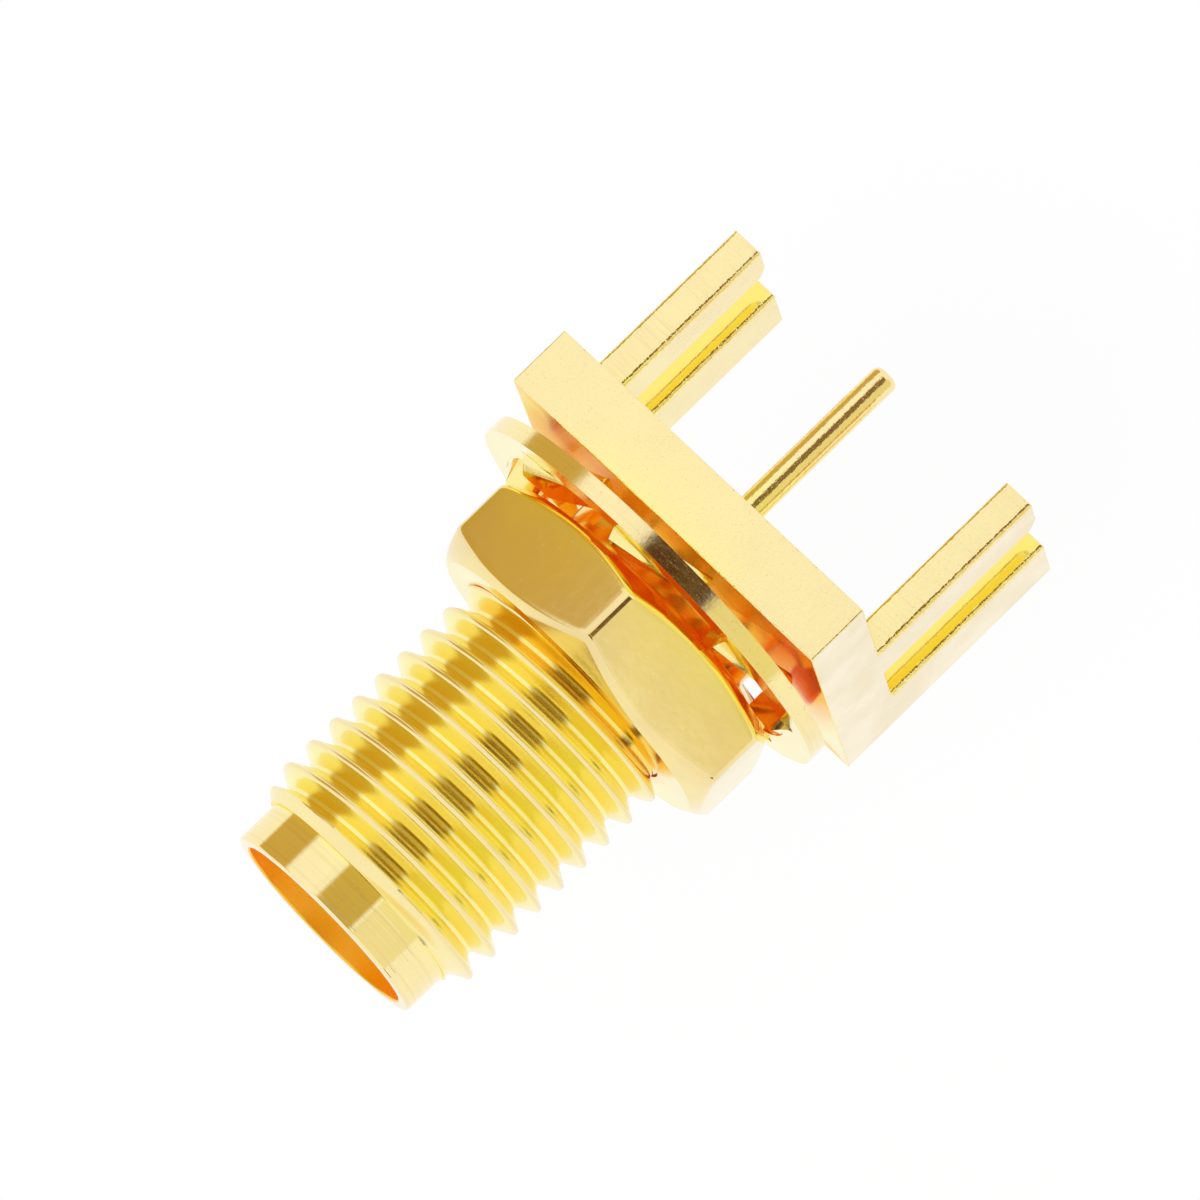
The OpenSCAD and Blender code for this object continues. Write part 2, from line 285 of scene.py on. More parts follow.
def turned(name, outline, steps=128):
    """Solid of a closed outline (radius, place along Y), turned about the axis."""
    bm = bmesh.new()
    rings = []
    for r, y in outline:
        if r < 1e-6:
            rings.append([bm.verts.new((0, y, 0))] * steps)
        else:
            rings.append([bm.verts.new(on_circle(r, y, 2 * math.pi * k / steps)) for k in range(steps)])
    for a, b in zip(rings, rings[1:] + rings[:1]):
        for k in range(steps):
            n = (k + 1) % steps
            corner = list(dict.fromkeys((a[k], a[n], b[n], b[k])))
            if len(corner) > 2:
                bm.faces.new(corner)
    return solid(name, bm)


def drawn(name, outline, place, travel):
    """Solid of a flat outline: place turns a point of it into space, and travel is the way it is drawn."""
    bm = bmesh.new()
    face = bm.faces.new([bm.verts.new(place(p)) for p in outline])
    far = bmesh.ops.extrude_face_region(bm, geom=[face])["geom"]
    bmesh.ops.translate(bm, vec=travel, verts=[v for v in far if isinstance(v, bmesh.types.BMVert)])
    return solid(name, bm)


def settled(obj):
    """Turns the object's modifiers into its plain mesh."""
    graph = bpy.context.evaluated_depsgraph_get()
    graph.update()
    mesh = bpy.data.meshes.new_from_object(obj.evaluated_get(graph), preserve_all_data_layers=True, depsgraph=graph)
    old = obj.data
    obj.modifiers.clear()
    obj.data = mesh
    bpy.data.meshes.remove(old)
    return obj


def combined(obj, tool, operation):
    """Joins, cuts or intersects obj with a tool, which is used up."""
    step = obj.modifiers.new("combine", "BOOLEAN")
    step.operation, step.solver, step.object = operation, "EXACT", tool
    settled(obj)
    mesh = tool.data
    bpy.data.objects.remove(tool)
    bpy.data.meshes.remove(mesh)
    return obj


def tidied(obj):
    """Dissolves needless edges in flat faces, up to half a degree, and merges doubles."""
    bm = bmesh.new()
    bm.from_mesh(obj.data)
    bmesh.ops.remove_doubles(bm, verts=bm.verts, dist=1e-4)
    bmesh.ops.dissolve_limit(bm, angle_limit=math.radians(0.5), verts=bm.verts, edges=bm.edges)
    bm.to_mesh(obj.data)
    bm.free()
    return obj


def broken_edges(obj, width, steps=2, angle=32, narrow=1.0, wide=None):
    """Rounds the sharp edges: to the full width where wide says so of an edge's ends, else to a share of it."""
    mesh = obj.data
    bm = bmesh.new()
    bm.from_mesh(mesh)
    shares = []
    for e in bm.edges:
        sharp = len(e.link_faces) == 2 and e.calc_face_angle() > math.radians(angle)
        full = wide is None or wide(*(v.co for v in e.verts))
        shares.append((1.0 if full else narrow) if sharp else 0.0)
    bm.free()
    weights = mesh.attributes.get("bevel_weight_edge") or mesh.attributes.new("bevel_weight_edge", "FLOAT", "EDGE")
    weights.data.foreach_set("value", shares)
    step = obj.modifiers.new("edges", "BEVEL")
    step.width, step.segments, step.limit_method = width, steps, "WEIGHT"
    step.use_clamp_overlap, step.miter_outer = True, "MITER_ARC"
    settled(obj)
    obj.data.attributes.remove(obj.data.attributes["bevel_weight_edge"])
    return obj


def finished(obj, angle=34):
    """Brings the mesh to metres and smooths it up to its sharp edges."""
    obj.data.shade_smooth()
    obj.data.set_sharp_from_angle(angle=math.radians(angle))
    step = obj.modifiers.new("normals", "WEIGHTED_NORMAL")
    step.mode, step.keep_sharp, step.weight = "FACE_AREA", True, 60
    settled(obj)
    obj.data.transform(Matrix.Scale(1 / MM, 4))
    return obj


# ---- Node helpers ----


def feed(tree, node, **given):
    """Sets inputs by number or name: a socket is linked, anything else is a value."""
    for key, value in given.items():
        slot_name = int(key[1:]) if key[0] == "i" and key[1:].isdigit() else key.replace("_", " ")
        target = node.inputs[slot_name]
        if isinstance(value, bpy.types.NodeSocket):
            tree.links.new(value, target)
        else:
            target.default_value = value
    return node


class Maths:
    """Short way to write sums in a node tree."""

    def __init__(self, tree):
        self.tree = tree

    def __call__(self, operation, a, b=None, c=None, clamp=False):
        node = self.tree.nodes.new("ShaderNodeMath")
        node.operation, node.use_clamp = operation, clamp
        for k, value in enumerate((a, b, c)):
            if value is not None:
                feed(self.tree, node, **{f"i{k}": value})
        return node.outputs[0]


# ---- Geometry Nodes ----


def begun_tree(name, whole, floats):
    """Tree with a geometry, whole numbers, floats and a material as its inputs."""
    tree = bpy.data.node_groups.new(name, "GeometryNodeTree")
    inputs = [("Geometry", "Geometry"), *((n, "Int") for n in whole), *((n, "Float") for n in floats)]
    for title, kind in (*inputs, ("Material", "Material")):
        tree.interface.new_socket(title, in_out="INPUT", socket_type="NodeSocket" + kind)
    tree.interface.new_socket("Geometry", in_out="OUTPUT", socket_type="NodeSocketGeometry")
    return tree, tree.nodes.new("NodeGroupInput").outputs, Maths(tree)


def thread_rule():
    """Tree for a right-handed screw thread about Y: rounded crests and roots, with a run-in at its start."""
    tree = bpy.data.node_groups.get("Screw thread")
    if tree:
        return tree
    tree, given, sums = begun_tree(
        "Screw thread",
        ("Turns", "Steps", "Across"),
        ("Start", "Pitch", "Root radius", "Crest radius", "Root half", "Root ease", "Crest ease")
        + ("Run-in at", "Run-in slope", "Run-in radius"),
    )
    grid = tree.nodes.new("GeometryNodeMeshGrid")
    rows = sums("ADD", sums("MULTIPLY", given["Turns"], given["Steps"]), 1)
    columns = sums("ADD", given["Across"], 1)
    feed(tree, grid, Size_X=1.0, Size_Y=1.0, Vertices_X=rows, Vertices_Y=columns)
    at = tree.nodes.new("ShaderNodeSeparateXYZ")
    feed(tree, at, Vector=tree.nodes.new("GeometryNodeInputPosition").outputs[0])
    around = sums("MULTIPLY", sums("ADD", at.outputs["X"], 0.5), given["Turns"])
    across = sums("ADD", at.outputs["Y"], 0.5)
    along = sums("MULTIPLY_ADD", sums("ADD", around, across), given["Pitch"], given["Start"])
    # straight flanks at 60 degrees, from the middle of a root up to a crest
    rise = sums("SUBTRACT", 1.0, sums("ABSOLUTE", sums("MULTIPLY_ADD", across, 2.0, -1.0)))
    out = sums("SUBTRACT", sums("MULTIPLY", rise, sums("MULTIPLY", given["Pitch"], 0.5)), given["Root half"])
    raw = sums("MULTIPLY_ADD", out, math.sqrt(3), given["Root radius"])
    radius = sums("SMOOTH_MAX", raw, given["Root radius"], given["Root ease"])
    radius = sums("SMOOTH_MIN", radius, given["Crest radius"], given["Crest ease"])
    ramp = sums(
        "MULTIPLY_ADD", sums("SUBTRACT", along, given["Run-in at"]), given["Run-in slope"], given["Run-in radius"]
    )
    floor = sums("MAXIMUM", ramp, given["Root radius"])
    radius = sums("SMOOTH_MIN", radius, floor, RUN_IN_EASE)
    angle = sums("MULTIPLY", around, 2 * math.pi)
    place = tree.nodes.new("ShaderNodeCombineXYZ")
    feed(
        tree,
        place,
        X=sums("MULTIPLY", radius, sums("COSINE", angle)),
        Y=along,
        Z=sums("MULTIPLY", sums("MULTIPLY", radius, sums("SINE", angle)), -1.0),
    )
    moved = tree.nodes.new("GeometryNodeSetPosition")
    feed(tree, moved, Geometry=grid.outputs["Mesh"], Position=place.outputs[0])
    merged = tree.nodes.new("GeometryNodeMergeByDistance")
    feed(tree, merged, Geometry=moved.outputs[0], Distance=MERGE)
    close_tree(tree, merged.outputs[0], given["Material"])
    return tree


def teeth_rule():
    """Tree that sets a tooth round the axis."""
    tree = bpy.data.node_groups.get("Ring of teeth")
    if tree:
        return tree
    tree, given, sums = begun_tree("Ring of teeth", ("Count",), ("Turn",))
    line = tree.nodes.new("GeometryNodeMeshLine")
    feed(tree, line, Count=given["Count"], Offset=(0, 0, 0))
    step = sums("DIVIDE", 2 * math.pi, given["Count"])
    index = tree.nodes.new("GeometryNodeInputIndex").outputs[0]
    angle = sums("MULTIPLY_ADD", index, step, given["Turn"])
    turn = tree.nodes.new("ShaderNodeCombineXYZ")
    feed(tree, turn, Y=angle)
    placed = tree.nodes.new("GeometryNodeInstanceOnPoints")
    feed(tree, placed, Points=line.outputs[0], Instance=given["Geometry"], Rotation=turn.outputs[0])
    close_tree(tree, placed.outputs[0], given["Material"])
    return tree


def close_tree(tree, geometry, material):
    """Ends a tree in Realize Instances and Set Material."""
    real = tree.nodes.new("GeometryNodeRealizeInstances")
    feed(tree, real, Geometry=geometry)
    painted = tree.nodes.new("GeometryNodeSetMaterial")
    feed(tree, painted, Geometry=real.outputs[0], Material=material)
    out = tree.nodes.new("NodeGroupOutput")
    tree.links.new(painted.outputs[0], out.inputs[0])


def grown(obj, tree, **given):
    """Runs a tree on an object and keeps the plain mesh."""
    step = obj.modifiers.new("rule", "NODES")
    step.node_group = tree
    for item in tree.interface.items_tree:
        if item.in_out == "INPUT" and item.name in given:
            step[item.identifier] = given[item.name]
    return settled(obj)


def thread_rod(name, low, high, grow=0.0, run_in=True):
    """Solid length of thread between two stations along Y, on the barrel's own helix."""
    t, b = sizes("thread"), sizes("barrel")
    pitch, depth = t.pitch * MM, t.depth * MM
    crest = t.thread_d * MM / 2
    root = crest - depth
    y_mouth = -(sizes("flange").flange_t + b.barrel_len) * MM
    first = y_mouth + t.first_crest * MM - pitch / 2
    start = first + pitch * (math.floor((low - first) / pitch) - 2)
    turns = math.ceil((high - start) / pitch) + 2
    root_half = (pitch - 2 * depth / math.sqrt(3) - pitch / 8) / 2
    seed = bpy.data.objects.new(name, bpy.data.meshes.new(name))
    bpy.context.scene.collection.objects.link(seed)
    rod = grown(
        seed,
        thread_rule(),
        **{
            "Turns": turns,
            "Steps": t.steps,
            "Across": t.across,
            "Start": start,
            "Pitch": pitch,
            "Root radius": root + grow,
            "Crest radius": crest + grow,
            "Root half": root_half,
            "Root ease": t.root_ease * MM,
            "Crest ease": t.crest_ease * MM,
            "Run-in at": y_mouth + b.nose_len * MM if run_in else NO_RUN_IN,
            "Run-in slope": t.run_in_slope,
            "Run-in radius": root + t.run_in * MM,
        },
    )
    bm = bmesh.new()
    bm.from_mesh(rod.data)
    for y, way in ((low, -1), (high, 1)):
        every = bm.verts[:] + bm.edges[:] + bm.faces[:]
        cut = bmesh.ops.bisect_plane(bm, geom=every, plane_co=(0, y, 0), plane_no=(0, way, 0), clear_outer=True)
        rim = [e for e in cut["geom_cut"] if isinstance(e, bmesh.types.BMEdge)]
        bmesh.ops.holes_fill(bm, edges=rim, sides=0)
    bmesh.ops.recalc_face_normals(bm, faces=bm.faces)
    bm.to_mesh(rod.data)
    bm.free()
    return rod


# ---- Materials ----


def material(name):
    """A fresh material with its shader, and a maths helper for its tree."""
    made = bpy.data.materials.new(name)
    made.use_nodes = True
    tree = made.node_tree
    return made, tree, tree.nodes["Principled BSDF"], Maths(tree)


def effect(name, inputs, outputs, build):
    """Shader node group, built once: inputs and outputs are (name, kind, default)."""
    tree = bpy.data.node_groups.get(name)
    if tree:
        return tree
    tree = bpy.data.node_groups.new(name, "ShaderNodeTree")
    for title, kind, default in inputs:
        tree.interface.new_socket(title, in_out="INPUT", socket_type=kind).default_value = default
    for title, kind in outputs:
        tree.interface.new_socket(title, in_out="OUTPUT", socket_type=kind)
    given = tree.nodes.new("NodeGroupInput").outputs
    made = build(tree, given, Maths(tree))
    out = tree.nodes.new("NodeGroupOutput")
    for k, socket in enumerate(made):
        tree.links.new(socket, out.inputs[k])
    return tree


def cells(tree, scale, stretch=(1.0, 1.0, 1.0), detail=2.0):
    """Noise in Object coordinates; scale is in cells to the metre."""
    at = tree.nodes.new("ShaderNodeTexCoord")
    mapped = tree.nodes.new("ShaderNodeMapping")
    feed(tree, mapped, Vector=at.outputs["Object"], Scale=stretch)
    noise = tree.nodes.new("ShaderNodeTexNoise")
    feed(tree, noise, Vector=mapped.outputs[0], Scale=scale, Detail=detail, Roughness=0.55)
    return noise.outputs["Fac"]


def plating_grain():
    """Fine orange peel, tiny pits and slow mottling of a plated surface."""

    def build(tree, given, sums):
        peel = cells(tree, given["Cells"])
        fine = cells(tree, sums("MULTIPLY", given["Cells"], 3.4), detail=1.0)
        pits = sums("SMOOTH_MIN", sums("SUBTRACT", fine, 0.30), 0.0, 0.04)
        height = sums("MULTIPLY_ADD", pits, 4.0, peel)
        slow = cells(tree, sums("MULTIPLY", given["Cells"], 0.12), detail=3.0)
        mottle = sums("MULTIPLY", sums("SUBTRACT", slow, 0.38), 4.0, clamp=True)
        dots = cells(tree, sums("MULTIPLY", given["Cells"], 1.6), detail=1.0)
        return height, mottle, sums("MULTIPLY", sums("SUBTRACT", 0.36, dots), 9.0, clamp=True)

    return effect(
        "Plating grain",
        [("Cells", "NodeSocketFloat", 9000.0)],
        [("Height", "NodeSocketFloat"), ("Mottle", "NodeSocketFloat"), ("Dots", "NodeSocketFloat")],
        build,
    )


def turning_marks():
    """Fine rings that a lathe leaves round the axis."""

    def build(tree, given, sums):
        return (cells(tree, given["Rings"], (0.012, 1.0, 0.012), 1.0),)

    return effect(
        "Turning marks", [("Rings", "NodeSocketFloat", 14000.0)], [("Height", "NodeSocketFloat")], build
    )


def painted_hollow_mask():
    """How deep a point sits, for the painted reflection and shade in hollows: Fold rises in any groove or slot, Deep
    only in narrow crevices.
    """

    def build(tree, given, sums):
        near = tree.nodes.new("ShaderNodeAmbientOcclusion")
        near.samples = 4
        feed(tree, near, Distance=given["Reach"])
        fold = sums("SUBTRACT", given["Fold below"], near.outputs["AO"])
        deep = sums("SUBTRACT", given["Deep below"], near.outputs["AO"])
        return sums("MULTIPLY", fold, given["Fold gain"], clamp=True), sums("MULTIPLY", deep, 5.0, clamp=True)

    return effect(
        "Painted hollow shade",
        [
            ("Reach", "NodeSocketFloat", 0.0025),
            ("Fold below", "NodeSocketFloat", 0.92),
            ("Fold gain", "NodeSocketFloat", 2.5),
            ("Deep below", "NodeSocketFloat", 0.36),
        ],
        [("Fold", "NodeSocketFloat"), ("Deep", "NodeSocketFloat")],
        build,
    )


def placed(tree, group, **given):
    """A node group in a tree, with its inputs set."""
    node = tree.nodes.new("ShaderNodeGroup")
    node.node_tree = group
    return feed(tree, node, **given)


def blended(tree, share, a, b):
    """Colour between a and b."""
    node = tree.nodes.new("ShaderNodeMix")
    node.data_type = "RGBA"
    feed(tree, node, i0=share, i6=a, i7=b)
    return node.outputs[2]


def polished_gold(
    name,
    colour,
    roughness=0.12,
    grain=0.0006,
    cell=9000.0,
    lines=0.0,
    ring_tone=0.0,
    crest=None,
    milled=0.0,
    mottling=0.1,
    dots=0.0,
    fold_gain=2.5,
    glow=0.0,
):
    """Gold plating; grain and lines are heights in millimetres, cell is in cells to the metre, crest is the radius
    where the crests' painted shade starts, glow is the share of the colour given off as painted light, and the
    rest are shares.
    """
    made, tree, shader, sums = material(name)
    c = sizes("colours")
    peel = placed(tree, plating_grain(), Cells=cell)
    height = sums("MULTIPLY", peel.outputs["Height"], grain / MM)
    if lines:
        marks = placed(tree, turning_marks())
        height = sums("MULTIPLY_ADD", marks.outputs[0], lines / MM, height)
        ringed = sums("MULTIPLY", sums("SUBTRACT", marks.outputs[0], 0.5), ring_tone, clamp=True)
    bump = tree.nodes.new("ShaderNodeBump")
    feed(tree, bump, Height=height, Distance=1.0, Strength=1.0)
    worn = sums("MULTIPLY", peel.outputs["Mottle"], mottling)
    if dots:
        worn = sums("MULTIPLY_ADD", peel.outputs["Dots"], dots, worn)
    if lines:
        worn = sums("ADD", worn, ringed)
    if milled:
        strokes = sums("SUBTRACT", cells(tree, 15000.0, (0.05, 1.0, 0.5), 2.0), 0.5)
        patch = sums("SUBTRACT", cells(tree, 700.0, (1.0, 1.0, 1.0), 1.0), 0.35)
        streaks = sums("MULTIPLY", sums("MULTIPLY", strokes, patch, clamp=True), 8.0)
        worn = sums("MULTIPLY_ADD", streaks, milled, worn)
    paint = blended(tree, sums("MULTIPLY", worn, 1.0, clamp=True), (*colour, 1.0), (*c.smudge, 1.0))
    painted_hollow_masks = placed(tree, painted_hollow_mask(), Fold_gain=fold_gain)
    # Painted reflection: grooves and slots, found by ambient occlusion, take a brighter, more saturated gold, as gold
    # reflected in gold.
    paint = blended(tree, painted_hollow_masks.outputs["Fold"], paint, (*c.fold, 1.0))
    # Painted shade: above the crest radius the thread takes a duller gold that tones down the crests' highlight.
    if crest:
        at = tree.nodes.new("ShaderNodeSeparateXYZ")
        feed(tree, at, Vector=tree.nodes.new("ShaderNodeTexCoord").outputs["Object"])
        r = sums("SQRT", sums("MULTIPLY_ADD", at.outputs[0], at.outputs[0], sums("POWER", at.outputs[2], 2.0)))
        ramp = sums("MULTIPLY", sums("SUBTRACT", r, crest / MM), 30000.0, clamp=True)
        paint = blended(tree, ramp, paint, (*c.crest, 1.0))
    # Painted shade: narrow crevices take a deep orange, as light bounced many times between gold walls.
    paint = blended(tree, painted_hollow_masks.outputs["Deep"], paint, (*c.painted_crevice_shade, 1.0))
    feed(
        tree,
        shader,
        Base_Color=paint,
        Metallic=1.0,
        Roughness=sums("MULTIPLY_ADD", peel.outputs["Mottle"], 0.04, roughness - 0.02),
        Normal=bump.outputs[0],
        # Painted glow: the surface gives off its colour times glow, and deep crevices give off a faint painted glow
        # besides.
        Emission_Color=blended(
            tree,
            painted_hollow_masks.outputs["Deep"],
            (*(Vector(colour) * glow), 1.0),
            (*(Vector(c.painted_crevice_shade) * PAINTED_CREVICE_GLOW + Vector(colour) * glow), 1.0),
        ),
        Emission_Strength=1.0,
    )
    return made


def plain(name, colour, roughness):
    """Matt plastic with a fine grain."""
    made, tree, shader, sums = material(name)
    peel = placed(tree, plating_grain(), Cells=12000.0)
    bump = tree.nodes.new("ShaderNodeBump")
    feed(tree, bump, Height=sums("MULTIPLY", peel.outputs[0], 0.002 / MM), Distance=1.0)
    feed(tree, shader, Base_Color=(*colour, 1.0), Roughness=roughness, Specular_IOR_Level=0.2, Normal=bump.outputs[0])
    return made


# ---- Pieces ----


def station():
    """Places along Y that several pieces share, in millimetres."""
    b, f, w = (sizes(k) for k in ("barrel", "flange", "washer"))
    flange = -f.flange_t * MM
    mouth = flange - b.barrel_len * MM
    rise = (w.root_w / 2 * math.sin(w.twist) + w.sheet / 2 * math.cos(w.twist)) * MM
    washer = flange - w.gap * MM - rise
    return {
        "flange": flange,
        "mouth": mouth,
        "thread": mouth + b.nose_len * MM,
        "thread_end": flange - b.neck_len * MM,
        "insulator": mouth + b.mouth_depth * MM,
        "groove": mouth + b.groove_at * MM,
        "washer": washer,
        "nut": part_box("hex_nut")[0].y * MM,
    }


class JACK_OT_body(bpy.types.Operator):
    """Turned and milled body: nose, thread, neck, flange and four prongs"""

    bl_idname = "jack.body"
    bl_label = "Body"

    def execute(self, context):
        b, t, f, c, y = sizes("barrel"), sizes("thread"), sizes("flange"), sizes("colours"), station()
        nose_r, neck_r, ease = b.nose_d * MM / 2, b.neck_d * MM / 2, b.mouth_ease * MM
        mouth_r, bore_r, crest_r = b.mouth_d * MM / 2, b.bore_d * MM / 2, t.thread_d * MM / 2
        sunk_r = neck_r - 0.05
        half_l, half_h = f.flange_l * MM / 2, f.flange_h * MM / 2
        block = drawn(
            "jack_body",
            [(-half_l, -half_h), (half_l, -half_h), (half_l, half_h), (-half_l, half_h)],
            lambda p: (p[0], y["flange"], p[1]),
            (0, -y["flange"], 0),
        )
        board_top = -f.board_drop * MM
        far, inside = f.prong_len * MM, y["flange"] / 2
        upper = [
            (inside, board_top),
            (far - f.lead_len * MM, board_top),
            (far, board_top + f.lead_h * MM),
            (far, f.prong_top * MM),
            (inside, f.prong_top * MM),
        ]
        lower_top = board_top - f.board_gap * MM
        lower = [(inside, -half_h), (far, -half_h), (far, lower_top), (inside, lower_top)]
        for side in (-1, 1):
            for outline in (upper, lower):
                x = half_l * side
                prong = drawn("prong", outline, lambda p: (x, p[0], p[1]), (-side * f.prong_w * MM, 0, 0))
                combined(block, prong, "UNION")
        tidied(block)
        for finish in (
            polished_gold("plated flange", c.gold, grain=0.005, mottling=0.08, dots=0.35),
            polished_gold("plated prong", c.gold, grain=0.004, milled=1.0, dots=0.2, fold_gain=0.5),
            polished_gold("plated nose", c.gold, roughness=0.06, lines=0.0026, ring_tone=1.6),
            # The thread's crests take painted shade from the crest radius out.
            polished_gold("plated thread", c.gold, roughness=0.17, lines=0.001, crest=crest_r - 0.04),
            polished_gold("plated edge", c.gold, grain=0.03, cell=6000.0, roughness=0.1, dots=0.5),
            # Inside the mouth: painted reflection in its colour and a painted glow of its own.
            polished_gold("plated bore with painted light", c.bore_painted_reflection, roughness=0.3, lines=0.0008, glow=0.05),
            # Sides: slow smudges of their own, with painted reflection in their greyer colour.
            polished_gold("plated side with painted reflection", c.side_painted_reflection, grain=0.003, cell=6000.0, mottling=0.35, dots=0.15),
            # Board seats: painted reflection in their saturated colour.
            polished_gold("plated seat with painted reflection", c.seat_painted_reflection, roughness=0.05, cell=5000.0, mottling=0.0, fold_gain=0.0),
        ):
            block.data.materials.append(finish)
        broken_edges(
            block,
            f.prong_edge * MM,
            3,
            narrow=f.edge / f.prong_edge,
            wide=lambda a, b: abs(a.y - b.y) > 2 and max(a.y, b.y) > 2,
        )
        core = turned(
            "core",
            eased(
                [
                    (0, y["mouth"], 0),
                    (nose_r, y["mouth"], ease),
                    (nose_r, y["thread"] + LAP, 0),
                    (sunk_r, y["thread"] + LAP, 0),
                    (sunk_r, y["thread_end"] - LAP, 0),
                    (neck_r, y["thread_end"] - LAP, 0),
                    (neck_r, y["flange"] + 0.3, 0),
                    (0, y["flange"] + 0.3, 0),
                ]
            ),
        )
        combined(block, core, "UNION")
        combined(block, thread_rod("thread", y["thread"], y["thread_end"]), "UNION")
        groove_r, half = bore_r + b.groove_depth * MM, b.groove_w * MM / 2
        outline = (
            (0, y["mouth"] - CLEAR),
            (mouth_r + 0.55, y["mouth"] - CLEAR),
            (mouth_r + 0.05, y["mouth"]),
            (mouth_r + 0.014, y["mouth"] + 0.016),
            (mouth_r, y["mouth"] + 0.05),
            (mouth_r, y["insulator"]),
            (bore_r, y["insulator"]),
            (bore_r, y["groove"] - half),
            (groove_r, y["groove"] - half),
            (groove_r, y["groove"] + half),
            (bore_r, y["groove"] + half),
            (bore_r, CLEAR),
            (0, CLEAR),
        )
        combined(block, turned("bore", [Vector(p) for p in outline]), "DIFFERENCE")
        for face in block.data.polygons:
            centre = face.center
            r = math.hypot(centre.x, centre.z)
            at_gap = lower_top - 0.01 < centre.z < board_top + 0.01
            # The sawn sides take the finish with painted reflection.
            if abs(face.normal.x) > STRAIGHT and abs(centre.x) > half_l - 0.01:
                finish = SIDE_PAINTED_REFLECTION
            # The board seats between the prongs take the finish with painted reflection.
            elif abs(face.normal.z) > STRAIGHT and centre.y > 0.01 and at_gap:
                finish = SEAT_PAINTED_REFLECTION
            elif max(abs(k) for k in face.normal) < STRAIGHT and centre.y > y["flange"] - 0.01 and r > nose_r:
                finish = EDGE
            # Inside the mouth takes the finish with painted reflection and painted glow.
            elif r < mouth_r + 0.04 and centre.y < 0:
                finish = BORE_PAINTED_REFLECTION
            elif centre.y > 0.001 and r > bore_r + 0.3:
                finish = PRONG
            elif centre.y < y["thread"] - 0.001 or r < crest_r - 0.6:
                finish = NOSE
            elif centre.y < y["flange"] - 0.001 and r < crest_r + 0.01:
                finish = THREAD
            else:
                finish = FLANGE
            face.material_index = finish
        finished(block)
        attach(block, "shell")
        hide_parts("body")
        return {"FINISHED"}


class JACK_OT_nut(bpy.types.Operator):
    """Hexagonal panel nut with the barrel's thread cut through it"""

    bl_idname = "jack.nut"
    bl_label = "Nut"

    def execute(self, context):
        n, t, c, y = sizes("nut"), sizes("thread"), sizes("colours"), station()
        flat, high = n.across_flats * MM / 2, n.thickness * MM
        face_r, slope = flat * n.face_share, 1 / math.tan(n.chamfer)
        per_flat = 28  # points along each flat, closest at its two corners
        chamfer_h = (flat * 2 / math.sqrt(3) - face_r) / slope + 0.1
        near = [chamfer_h * k / 20 for k in range(21)]
        rows = near + [high - h for h in reversed(near)]
        bm = bmesh.new()
        rings = []
        for h in rows:
            cone = face_r + slope * min(h, high - h)
            ring = []
            for k in range(6 * per_flat):
                off = 30 * math.sin(math.radians(90 * ((k % per_flat + 0.5) / (per_flat / 2) - 1)))
                side = flat / math.cos(math.radians(off))
                other = flat / math.cos(math.radians(60 - abs(off)))
                r = blunt(blunt(side, other, n.corner * MM), cone, n.edge * MM)
                at = n.turn + math.radians(60 * (k // per_flat) + 30 + off)
                ring.append(bm.verts.new(on_circle(r, y["nut"] + h, at)))
            rings.append(ring)
        for a, b in zip(rings, rings[1:]):
            for k, v in enumerate(a):
                bm.faces.new((a[k - 1], v, b[k], b[k - 1]))
        bm.faces.new(rings[0])
        bm.faces.new(rings[-1])
        nut = solid("panel_nut", bm)
        screw = thread_rod("screw", y["nut"] - 0.4, y["nut"] + high + 0.4, t.clearance * MM, False)
        combined(nut, screw, "DIFFERENCE")
        nut.data.materials.clear()
        nut.data.materials.append(polished_gold("plated nut", c.nut_gold, cell=3000.0, grain=0.002, mottling=0.5))
        finished(nut, 24)
        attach(nut, "nut")
        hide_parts("hex_nut")
        return {"FINISHED"}


class JACK_OT_washer(bpy.types.Operator):
    """Lock washer with a flat rim and twisted teeth inside it"""

    bl_idname = "jack.washer"
    bl_label = "Lock washer"

    def execute(self, context):
        w, c, y = sizes("washer"), sizes("colours"), station()
        outer, half = w.washer_d * MM / 2, w.sheet * MM / 2
        inner = outer - w.rim_w * MM
        gold = polished_gold(
            "plated washer", c.gold, grain=0.002, cell=6000.0, lines=0.0005, ring_tone=1.0, mottling=0.2, dots=0.5
        )
        rim = turned("toothed_washer", [(outer, -half), (outer, half), (inner, half), (inner, -half)], 192)
        root, tip = w.root_w * MM, w.tip_w * MM
        stations = [
            (inner + 0.25, root, 0.0),
            (inner + 0.12, root, 0.12),
            (inner, root, 0.45),
            (inner - 0.1, root, 0.8),
            (inner - 0.2, root, 1.0),
            (w.hole_d * MM / 2, tip, 1.0),
        ]
        bm = bmesh.new()
        rows = []
        for r, width, share in stations:
            sin, cos = math.sin(w.twist * share), math.cos(w.twist * share)
            row = []
            for a, u in ((-1, -1), (1, -1), (1, 1), (-1, 1)):
                across, up = a * width / 2, u * half
                row.append(bm.verts.new((r, across * sin + up * cos, up * sin - across * cos)))
            rows.append(row)
        for a, b in zip(rows, rows[1:]):
            for k in range(4):
                bm.faces.new((a[k], a[(k + 1) % 4], b[(k + 1) % 4], b[k]))
        bm.faces.new(rows[0])
        bm.faces.new(rows[-1])
        teeth = solid("teeth", bm)
        grown(teeth, teeth_rule(), Count=w.teeth, Turn=w.turn, Material=gold)
        combined(rim, teeth, "UNION")
        tidied(rim)
        broken_edges(rim, w.edge * MM, angle=40)
        rim.data.transform(Matrix.Translation((-w.shift * MM, y["washer"], 0)))
        rim.data.materials.clear()
        rim.data.materials.append(gold)
        finished(rim)
        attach(rim, "washer")
        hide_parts("lock_washer")
        return {"FINISHED"}


